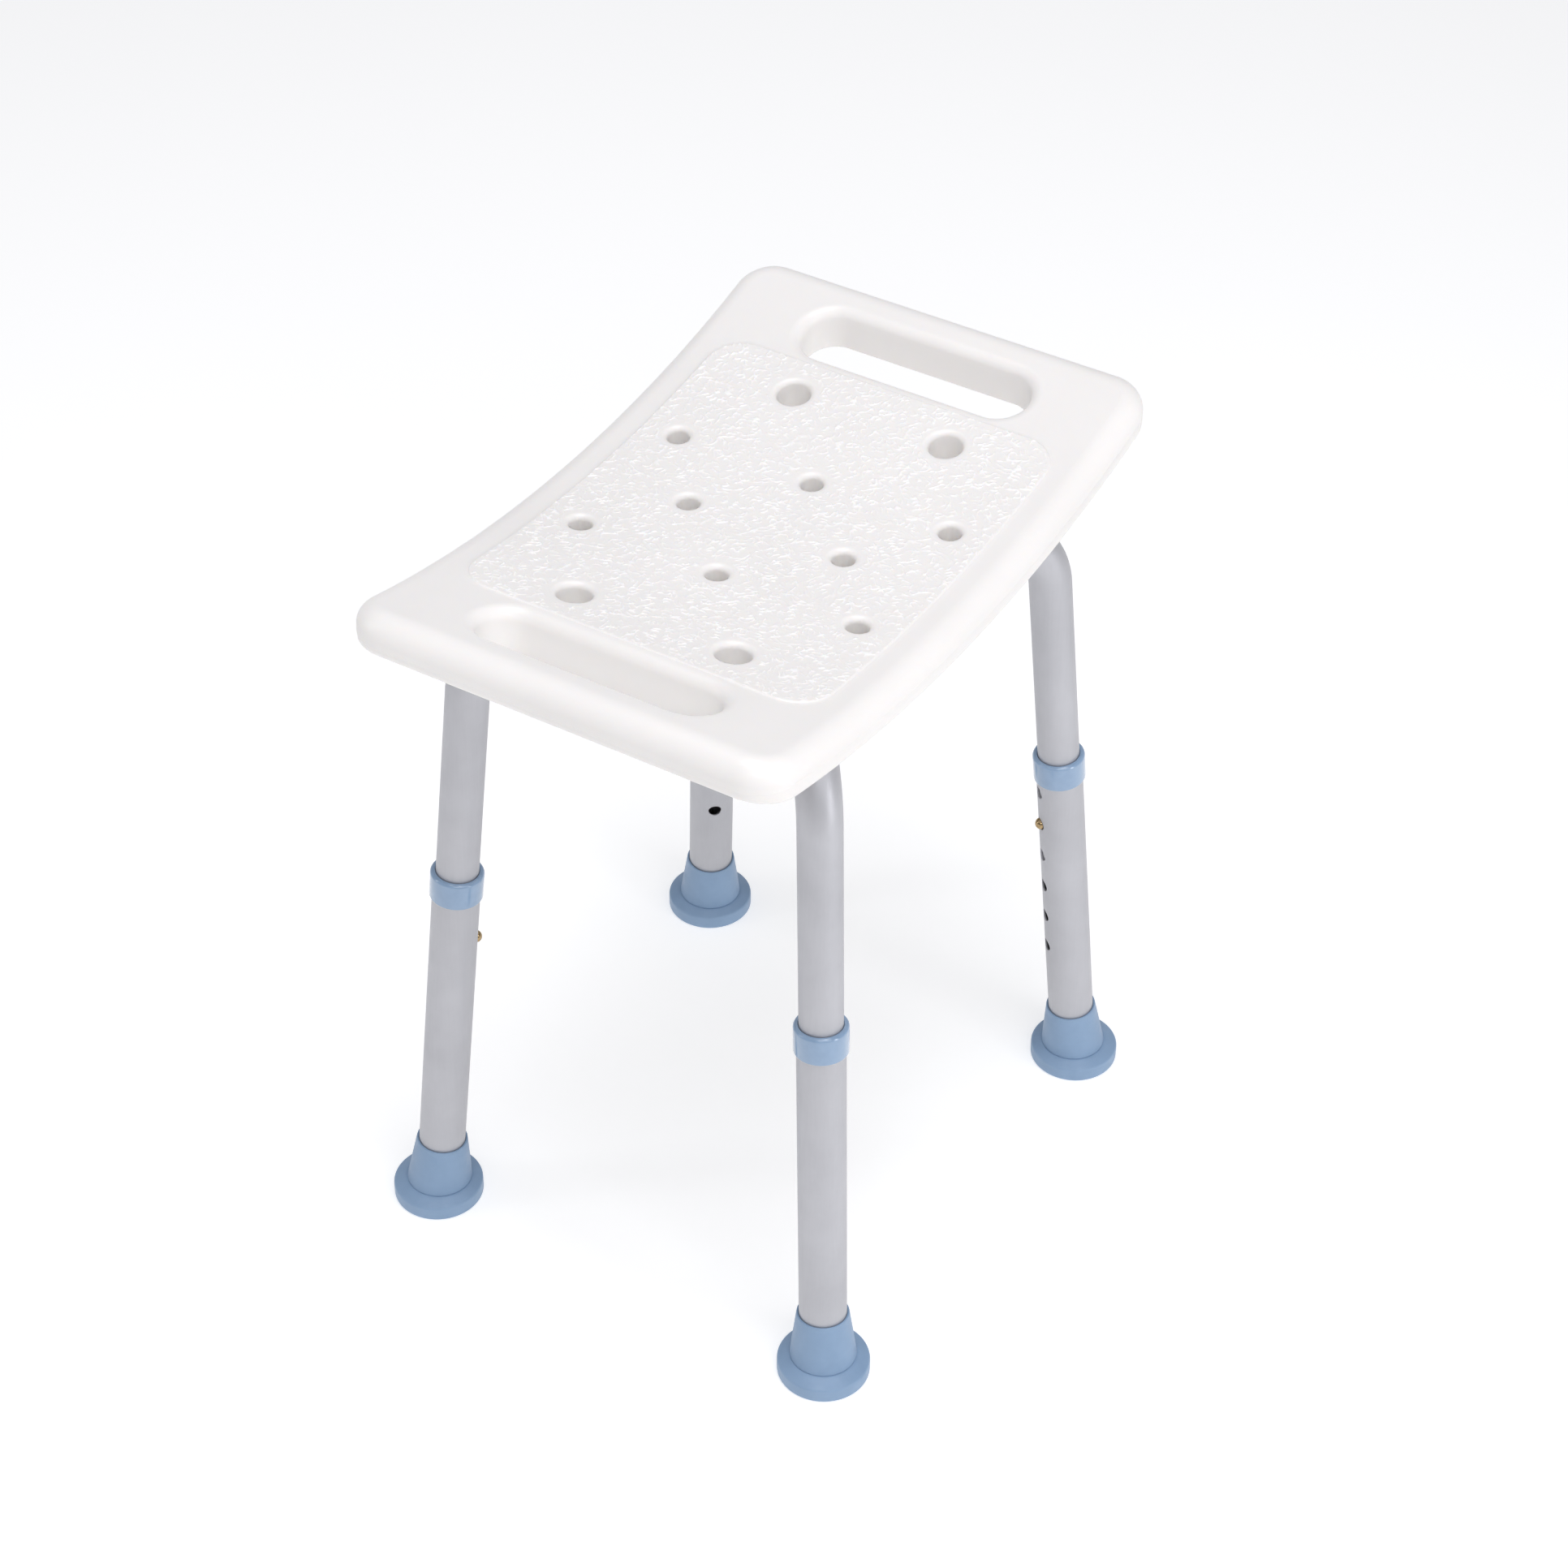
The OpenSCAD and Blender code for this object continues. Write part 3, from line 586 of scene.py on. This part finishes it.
def tube_wall(b, radius, bore, rows, path, holes, hole_r):
    """A tube with round holes that face the middle of the stool, made from its unrolled wall."""
    turns = np.arange(HOLE_STEPS) * 2 * math.pi / HOLE_STEPS

    def unrolled(s, r, turns=turns):
        angle, along = hole_line(s, r, radius, turns)
        return np.column_stack([radius * angle, along])

    half = math.pi * radius
    us = np.linspace(-half, half, TUBE_COLUMNS + 1)
    rows = np.array(rows, float)
    border = [(u, rows[0]) for u in us] + [(us[-1], s) for s in rows[1:-1]]
    border += [(u, rows[-1]) for u in us[::-1]] + [(us[0], s) for s in rows[1:-1][::-1]]
    loops = [np.array(border)]
    for s in holes:
        loops += [unrolled(s, hole_r + HOLE_CHAMFER), unrolled(s, hole_r + 0.9)]
    hole_loops = range(1, len(loops), 2)
    loose = np.array([(u, s) for s in rows[1:-1] for u in us[1:-1]])
    for s in holes:
        loose = loose[np.hypot(loose[:, 0], loose[:, 1] - s) > hole_r + 1.8]
    rings = np.concatenate([unrolled(s, hole_r + 2.2, turns[::2]) for s in holes])
    gap = np.linalg.norm(loose[:, None] - rings[None], axis=2).min(1)
    loose = np.concatenate([loose[gap > 0.9], rings])
    faces, starts = triangulate(loops, loose, hole_loops)
    flat = np.concatenate(loops + [loose])

    # the two upright borders are one line on the tube
    side = len(rows) - 2
    top_first = TUBE_COLUMNS + 1 + side
    same = np.arange(len(flat))
    same[top_first + TUBE_COLUMNS + 1 + np.arange(side)] = (TUBE_COLUMNS + 1 + np.arange(side))[::-1]
    same[TUBE_COLUMNS] = 0
    same[top_first] = top_first + TUBE_COLUMNS
    faces = same[faces]

    angle, along = flat[:, 0] / radius, flat[:, 1].copy()
    outer = b.add(path(angle, along, radius))
    rims = [np.arange(starts[k], starts[k] + HOLE_STEPS) for k in hole_loops]
    for s, rim in zip(holes, rims):
        angle[rim], along[rim] = hole_line(s, hole_r, bore, turns)
    inner = b.add(path(angle, along, bore))
    b.triangles(outer[faces])
    b.triangles(inner[faces][:, ::-1])
    for s, rim in zip(holes, rims):
        lip = b.add(path(*hole_line(s, hole_r, radius - HOLE_CHAMFER, turns), radius - HOLE_CHAMFER))
        b.bridge(outer[rim], lip, flip=True)
        b.bridge(lip, inner[rim], flip=True)
    low_ring = same[np.arange(TUBE_COLUMNS)]
    top_ring = same[np.arange(top_first, top_first + TUBE_COLUMNS + 1)][::-1][:-1]
    b.bridge(outer[low_ring], inner[low_ring], flip=True)
    b.bridge(outer[top_ring], inner[top_ring])


def straight_path(leg):
    def place(angle, s, r):
        return leg_points(leg, -r * np.cos(angle), -r * np.sin(angle), s)
    return place


def bent_path(leg):
    """Along the leg, round the bend and inwards along the arm. s is measured along the centre line."""
    origin, _, tangent, up = leg_frame(leg)
    radial = origin / FOOT_R
    z = np.array([0, 0, 1.0])
    bend_centre = BEND_CENTRE_R * radial + (ARM_Z - BEND_R) * z

    def place(angle, s, r):
        s = np.asarray(s, float)
        tilt = SPLAY + np.clip((s - BEND_S) / BEND_R, 0, BEND_TURN)
        outward = np.outer(np.cos(tilt), radial) + np.outer(np.sin(tilt), z)
        below = np.minimum(s - BEND_S, 0)
        past = np.maximum(s - BEND_S - BEND_LENGTH, 0)
        centre = bend_centre + BEND_R * outward + (np.outer(below, up) - np.outer(past, radial))
        return centre - (r * np.cos(angle))[:, None] * outward - np.outer(r * np.sin(angle), tangent)
    return place


def spread(start, end, step):
    return list(np.linspace(start, end, max(2, int(round((end - start) / step)) + 1)))


def build_upper_tube(leg):
    b = Builder()
    bend_end = BEND_S + BEND_LENGTH
    rows = spread(UPPER_END, BEND_S, 12)[:-1] + spread(BEND_S, bend_end, 2.3)
    rows += spread(bend_end, bend_end + (BEND_CENTRE_R - ARM_INNER), 12)[1:]
    tube_wall(b, UPPER_R, UPPER_BORE, rows, bent_path(leg), [BUTTON_S], BUTTON_R + BUTTON_FIT)
    upper = b.mesh("upper_leg_" + leg)
    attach(upper, "seat_frame")
    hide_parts("upper_tube_" + leg)
    paint(upper, "aluminium")


def build_lower_tube(leg):
    b = Builder()
    rows = spread(LOWER_END, COLLAR_TOP - 2, 8)
    tube_wall(b, LOWER_R, LOWER_BORE, rows, straight_path(leg), HOLES_S, HEIGHT_HOLE_R)
    lower = b.mesh("lower_leg_" + leg)
    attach(lower, "leg_" + leg)
    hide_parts("lower_tube_" + leg)
    paint(lower, "aluminium")


def build_collar(leg):
    """A band with a small lower round, a large upper round and a lip over the end of the lower tube."""
    def place(x, y, s):
        return leg_points(leg, x, y, s)

    b = Builder()
    outline = [(LOWER_R, COLLAR_LOW + 0.25)] + arc(COLLAR_R - 0.8, COLLAR_LOW + 0.8, 0.8, -80, 0, 6)
    outline += arc(COLLAR_R - 2.2, COLLAR_TOP - 2.2, 2.2, 0, 84, 12)
    outline += arc(COLLAR_LIP_R + 0.5, COLLAR_TOP - 0.52, 0.5, 96, 180, 5)
    outline += [(COLLAR_LIP_R, COLLAR_TOP - 2.0), (LOWER_R, COLLAR_TOP - 2.0)]
    revolve(b, outline, place, 96, closed=True)
    collar = b.mesh("collar_" + leg)
    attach(collar, "leg_" + leg)
    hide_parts("height_collar_" + leg)
    paint(collar, "collar")


def build_button(leg):
    """A brass pin with a domed end, on a short neck that sits in the spring clip."""
    origin, out, tangent, up = leg_frame(leg)

    def place(x, y, s):
        return origin + BUTTON_S * up - np.outer(s, out) + np.outer(x, up) + np.outer(y, tangent)

    b = Builder()
    tip = LOWER_R + BUTTON_PROUD
    dome = BUTTON_PROUD - 0.4
    ball = (BUTTON_R ** 2 + dome ** 2) / (2 * dome)
    start = math.degrees(math.acos(BUTTON_R / ball))
    outline = [(0.001, 9.3), (2.3, 9.3), (2.3, 9.9), (BUTTON_R - 0.15, 10.0), (BUTTON_R, 10.2)]
    outline += [(BUTTON_R, tip - dome - 0.1)] + arc(0, tip - ball, ball, start, 89.9, 14)
    revolve(b, outline, place, 64)
    button = b.mesh("button_" + leg)
    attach(button, "button_" + leg)
    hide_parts("snap_button_" + leg)
    paint(button, "brass")


def build_foot(leg):
    """Rubber foot: an upright round flange, a slope, a crisp crease, then the socket along the leg."""
    origin, out, tangent, up = leg_frame(leg)
    radial = origin / FOOT_R
    z = np.array([0, 0, 1.0])
    a = np.arange(FOOT_STEPS) * 2 * math.pi / FOOT_STEPS
    around = np.outer(np.cos(a), radial) + np.outer(np.sin(a), tangent)
    around_leg = np.outer(np.cos(a), out) + np.outer(np.sin(a), tangent)

    def flat_ring(r, height):
        return origin + r * around + height * z

    def socket_radius(s):
        return SOCKET_ROOT_R - (SOCKET_ROOT_R - SOCKET_R) * (s - FLANGE_ROOT) / (SOCKET_TOP - FLANGE_ROOT)

    def socket_ring(s, r=None):
        s = np.broadcast_to(s, FOOT_STEPS).astype(float)
        r = socket_radius(s) if r is None else np.broadcast_to(r, FOOT_STEPS)
        return origin + r[:, None] * around_leg + s[:, None] * up

    def find_crease():
        """Distance along the leg where the socket leaves the sloping top of the flange."""
        edge_r = FLANGE_R - FLANGE_SOFT + FLANGE_SOFT * math.sin(FLANGE_SLOPE)
        edge_z = FLANGE_T - FLANGE_SOFT + FLANGE_SOFT * math.cos(FLANGE_SLOPE)
        low, high = np.full(FOOT_STEPS, 6.0), np.full(FOOT_STEPS, 25.0)
        for _ in range(40):
            middle = (low + high) / 2
            p = socket_ring(middle) - origin
            slope = edge_z + (edge_r - np.hypot(p[:, 0], p[:, 1])) * math.tan(FLANGE_SLOPE)
            above = p[:, 2] > slope
            high, low = np.where(above, middle, high), np.where(above, low, middle)
        return (low + high) / 2

    # face on the floor with its round grooves, then the upright band and its shoulder
    profile = [(0.001, 0.0)]
    for inner, outer in FOOT_GROOVES:
        profile += [(inner - 0.15, 0.0), (inner + 0.1, 0.25), (inner + 0.25, FOOT_GROOVE_DEPTH)]
        profile += [(outer - 0.25, FOOT_GROOVE_DEPTH), (outer - 0.1, 0.25), (outer + 0.15, 0.0)]
    profile += arc(FLANGE_R - 1.3, 1.3, 1.3, -90, 0, 6)
    slope_deg = math.degrees(FLANGE_SLOPE)
    profile += arc(FLANGE_R - FLANGE_SOFT, FLANGE_T - FLANGE_SOFT, FLANGE_SOFT, 0, 90 - slope_deg, 10)
    rings = [flat_ring(r, height) for r, height in profile]
    # slope, and a narrow groove where it meets the socket
    crease = find_crease()
    edge, root = rings[-1], socket_ring(crease)
    rings += [edge + t * (root - edge) for t in (0.25, 0.5, 0.75, 0.93)]
    rings.append(socket_ring(crease - 0.25, socket_radius(crease) - 0.3))
    # socket, its rounded lip and its inside down to the end of the tube
    rings += [socket_ring(crease + gap) for gap in (0.3, 0.8, 1.8)]
    rings += [socket_ring(crease + 1.8 + t * (SOCKET_TOP - 2.2 - crease)) for t in np.linspace(0.15, 1, 10)]
    lip = arc(SOCKET_R - SOCKET_LIP + 0.08, SOCKET_TOP - SOCKET_LIP, SOCKET_LIP, 10, 90, 6)
    rings += [socket_ring(s, r) for r, s in lip]
    rings += [socket_ring(SOCKET_TOP - 0.3, LOWER_R + 0.22), socket_ring(SOCKET_TOP - 1.0, LOWER_R + 0.04)]
    rings += [socket_ring(LOWER_END - 2.0, LOWER_R + 0.02), socket_ring(LOWER_END - 2.0, 0.001)]

    b = Builder()
    b.skin(rings)
    foot = b.mesh("foot_" + leg, 38)
    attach(foot, "leg_" + leg)
    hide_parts("rubber_foot_" + leg)
    paint(foot, "rubber")


# ------------------------------------------------------------------ materials
def colour(hex_code):
    """sRGB hex to linear RGBA."""
    values = [int(hex_code[i:i + 2], 16) / 255 for i in (0, 2, 4)]
    return [v / 12.92 if v <= 0.04045 else ((v + 0.055) / 1.055) ** 2.4 for v in values] + [1.0]


class Shader:
    """A node material with one Principled shader and helpers for noise, ramps and bump."""

    def __init__(self, name, base, roughness, metallic=0.0, **sockets):
        self.material = bpy.data.materials.new(name)
        self.material.use_nodes = True
        self.tree = self.material.node_tree
        self.bsdf = self.tree.nodes["Principled BSDF"]
        self.set("Base Color", colour(base))
        self.set("Roughness", roughness)
        self.set("Metallic", metallic)
        for key, value in sockets.items():
            self.set(key.replace("_", " "), value)

    def set(self, socket, value):
        self.bsdf.inputs[socket].default_value = value

    def node(self, kind):
        return self.tree.nodes.new(kind)

    def link(self, a, b):
        self.tree.links.new(a, b)

    def noise(self, scale, detail=4.0, rough=0.55, stretch=(1, 1, 1)):
        """Noise in the object's own space, in cycles per metre."""
        where = self.node("ShaderNodeTexCoord")
        move = self.node("ShaderNodeMapping")
        move.inputs["Scale"].default_value = stretch
        self.link(where.outputs["Object"], move.inputs["Vector"])
        made = self.node("ShaderNodeTexNoise")
        for key, value in (("Scale", scale), ("Detail", detail), ("Roughness", rough)):
            made.inputs[key].default_value = value
        self.link(move.outputs["Vector"], made.inputs["Vector"])
        return made.outputs["Fac"]

    def ramp(self, value, low, high, a, b):
        """Maps value from low..high to a..b, clamped."""
        made = self.node("ShaderNodeMapRange")
        made.clamp = True
        for key, v in (("From Min", low), ("From Max", high), ("To Min", a), ("To Max", b)):
            made.inputs[key].default_value = v
        self.link(value, made.inputs["Value"])
        return made.outputs["Result"]

    def mix(self, factor, one, two):
        """Colour between one, a hex code or an output, and two, a hex code."""
        made = self.node("ShaderNodeMix")
        made.data_type = "RGBA"
        self.link(factor, made.inputs[0])
        if isinstance(one, str):
            made.inputs[6].default_value = colour(one)
        else:
            self.link(one, made.inputs[6])
        made.inputs[7].default_value = colour(two)
        return made.outputs[2]

    def math(self, op, a, b):
        made = self.node("ShaderNodeMath")
        made.operation = op
        self.link(a, made.inputs[0])
        self.link(b, made.inputs[1])
        return made.outputs["Value"]

    def tint(self, value, low, high, one, two):
        """Links the base colour, which goes from one to two as value goes from low to high."""
        self.link(self.mix(self.ramp(value, low, high, 0, 1), one, two), self.bsdf.inputs["Base Color"])

    def roughness(self, value):
        self.link(value, self.bsdf.inputs["Roughness"])

    def bump(self, *layers):
        """layers are (height, strength, distance)."""
        normal = None
        for height, strength, distance in layers:
            made = self.node("ShaderNodeBump")
            made.inputs["Strength"].default_value = strength
            made.inputs["Distance"].default_value = distance
            self.link(height, made.inputs["Height"])
            if normal is not None:
                self.link(normal, made.inputs["Normal"])
            normal = made.outputs["Normal"]
        self.link(normal, self.bsdf.inputs["Normal"])


def seat_material():
    """White polyethylene: slight clouding, glossier ridge tops whose colour is also lightened as a painted
    highlight, a fine satin skin.
    """
    m = Shader("moulded_polyethylene", "EFECE9", 0.36, IOR=1.5)
    m.set("Subsurface Weight", 0.2)
    m.set("Subsurface Radius", (1.0, 0.75, 0.5))
    m.set("Subsurface Scale", 0.003)
    plain = m.mix(m.ramp(m.noise(9.0, 5), 0.35, 0.7, 0, 1), "F0EDEA", "ECE9E6")
    ridge_highlight_and_gloss_layer = m.node("ShaderNodeAttribute")
    ridge_highlight_and_gloss_layer.attribute_name = "ridge"
    ridge = ridge_highlight_and_gloss_layer.outputs["Fac"]
    # painted highlight: the colour of the ridge tops is lightened towards F8F6F4
    m.tint(ridge, 0.2, 0.8, plain, "F8F6F4")
    rub = m.noise(60.0, 6, 0.6)
    m.roughness(m.math("SUBTRACT", m.ramp(rub, 0.3, 0.75, 0.30, 0.42), m.ramp(ridge, 0.3, 0.9, 0, 0.05)))
    m.bump((m.noise(1400.0, 3), 0.10, 0.0002), (m.noise(240.0, 3), 0.12, 0.0003))
    return m.material


def aluminium_material():
    """Satin anodised tube with fine drawn lines along its length."""
    m = Shader("satin_anodised_aluminium", "BBBBBF", 0.48, 0.6)
    lines = m.noise(900.0, 3, 0.6, (1, 1, 0.015))
    cloud = m.noise(22.0, 5, 0.6)
    m.tint(cloud, 0.3, 0.75, "BEBEC2", "B7B7BB")
    m.roughness(m.math("ADD", m.ramp(cloud, 0.3, 0.75, 0.42, 0.50), m.ramp(lines, 0.3, 0.7, 0.0, 0.08)))
    m.bump((lines, 0.12, 0.00012), (m.noise(2600.0, 2), 0.10, 0.00008))
    return m.material


def collar_material():
    m = Shader("glossy_blue_plastic", "86A0BD", 0.16, IOR=1.55, Coat_Weight=0.8, Coat_Roughness=0.08)
    m.tint(m.noise(120.0, 4), 0.35, 0.7, "89A3C0", "839DBA")
    m.roughness(m.ramp(m.noise(300.0, 5), 0.3, 0.75, 0.12, 0.24))
    m.bump((m.noise(500.0, 2), 0.08, 0.0002))
    return m.material


def rubber_material():
    m = Shader("blue_rubber", "859FBC", 0.5, IOR=1.5)
    m.tint(m.noise(70.0, 5), 0.35, 0.7, "88A2BF", "829CB9")
    m.roughness(m.ramp(m.noise(180.0, 5), 0.3, 0.75, 0.38, 0.58))
    m.bump((m.noise(2200.0, 4), 0.18, 0.0002), (m.noise(160.0, 3), 0.10, 0.0004))
    return m.material


def metal_material(name, light, dark, rough, stretch=(1, 1, 1), scale=400.0):
    m = Shader(name, light, rough, 1.0)
    grain = m.noise(scale, 4, 0.6, stretch)
    m.tint(grain, 0.35, 0.7, light, dark)
    m.roughness(m.ramp(grain, 0.3, 0.75, rough * 0.7, rough * 1.4))
    m.bump((grain, 0.08, 0.0001))
    return m.material


def plug_material():
    m = Shader("black_moulded_plastic", "26272A", 0.5)
    grain = m.noise(900.0, 4)
    m.tint(grain, 0.35, 0.7, "2A2B2E", "202124")
    m.roughness(m.ramp(grain, 0.3, 0.75, 0.4, 0.6))
    m.bump((grain, 0.15, 0.0002))
    return m.material


MATERIALS = {
    "seat": seat_material(),
    "aluminium": aluminium_material(),
    "collar": collar_material(),
    "rubber": rubber_material(),
    "brass": metal_material("polished_brass", "B8A07A", "9C8560", 0.1, scale=700.0),
    "insert": metal_material("machined_brass", "CBAF72", "B4965B", 0.3),
    "zinc": metal_material("zinc_plated_steel", "C3C5C8", "AEB0B4", 0.28),
    "spring": metal_material("spring_steel", "A9ABAF", "8F9196", 0.3, (1, 1, 0.2)),
    "plug": plug_material(),
}


def paint(obj, name):
    obj.data.materials.clear()
    obj.data.materials.append(MATERIALS[name])


def paint_cad(node, name):
    """Gives a CAD node that stays in the model a better material."""
    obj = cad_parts[node]
    if not obj.material_slots:
        obj.data.materials.append(MATERIALS[name])
    for slot in obj.material_slots:
        slot.material = MATERIALS[name]


# ------------------------------------------------------------------ stage and light
FLOOR_HALF, FLOOR_GREY, FLOOR_GLOW = 20, 0.72, 0.48
SKY_TINT, LIGHT_TINT = (0.96, 0.965, 1, 1), (0.965, 0.97, 1)
HORIZON_STRENGTH, SKY_STRENGTH, HORIZON_TOP = 0.8, 0.36, 0.16


def make_floor():
    h = FLOOR_HALF
    mesh = bpy.data.meshes.new("floor")
    mesh.from_pydata([(-h, -h, 0), (h, -h, 0), (h, h, 0), (-h, h, 0)], [], [(0, 1, 2, 3)])
    floor = bpy.data.objects.new("floor", mesh)
    bpy.context.scene.collection.objects.link(floor)
    material = bpy.data.materials.new("pale_floor")
    material.use_nodes = True
    bsdf = material.node_tree.nodes["Principled BSDF"]
    bsdf.inputs["Base Color"].default_value = (FLOOR_GREY, FLOOR_GREY, FLOOR_GREY, 1)
    bsdf.inputs["Roughness"].default_value = 0.9
    bsdf.inputs["Specular IOR Level"].default_value = 0.1
    bsdf.inputs["Emission Color"].default_value = (1, 1, 1, 1)
    bsdf.inputs["Emission Strength"].default_value = FLOOR_GLOW
    mesh.materials.append(material)


def make_world():
    """A plain sky that is brighter towards the horizon, as a room with white walls."""
    world = bpy.data.worlds.new("studio")
    bpy.context.scene.world = world
    world.use_nodes = True
    tree = world.node_tree
    background = tree.nodes["Background"]
    background.inputs["Color"].default_value = SKY_TINT
    where = tree.nodes.new("ShaderNodeTexCoord")
    split = tree.nodes.new("ShaderNodeSeparateXYZ")
    fade = tree.nodes.new("ShaderNodeMapRange")
    for key, value in (("From Min", 0.0), ("From Max", HORIZON_TOP),
                       ("To Min", HORIZON_STRENGTH), ("To Max", SKY_STRENGTH)):
        fade.inputs[key].default_value = value
    tree.links.new(where.outputs["Generated"], split.inputs["Vector"])
    tree.links.new(split.outputs["Z"], fade.inputs["Value"])
    tree.links.new(fade.outputs["Result"], background.inputs["Strength"])


def area_light(name, at, target, size, power):
    data = bpy.data.lights.new(name, "AREA")
    data.shape = "RECTANGLE"
    data.size, data.size_y = size
    data.energy = power
    data.color = LIGHT_TINT
    light = bpy.data.objects.new(name, data)
    bpy.context.scene.collection.objects.link(light)
    light.location = at
    light.rotation_mode = "QUATERNION"
    light.rotation_quaternion = (Vector(target) - Vector(at)).to_track_quat("-Z", "Y")


def make_stage():
    make_floor()
    make_world()
    area_light("key", (-1.2, -1.3, 1.75), (0, 0, 0.25), (1.8, 0.6), 11)
    area_light("top", (-0.25, -0.2, 2.5), (-0.1, -0.1, 0.2), (1.1, 1.1), 26)
    area_light("left", (-1.25, 1.6, 1.2), (0, 0, 0.3), (0.35, 1.2), 4)
    area_light("side", (-0.2, -2.1, 0.7), (0, 0, 0.2), (0.45, 1.1), 9)


def main():
    make_camera()
    make_stage()
    bpy.context.scene.view_settings.view_transform = "Standard"
    build_seat()
    for leg in LEGS:
        build_upper_tube(leg)
        build_lower_tube(leg)
        build_collar(leg)
        build_foot(leg)
        build_button(leg)
        paint_cad("arm_plug_" + leg, "plug")
        paint_cad("snap_spring_" + leg, "spring")
        paint_cad("foot_washer_" + leg, "zinc")
    paint_cad("seat_inserts", "insert")
    paint_cad("frame_screws", "zinc")
    paint_cad("saddle_washers", "plug")


main()
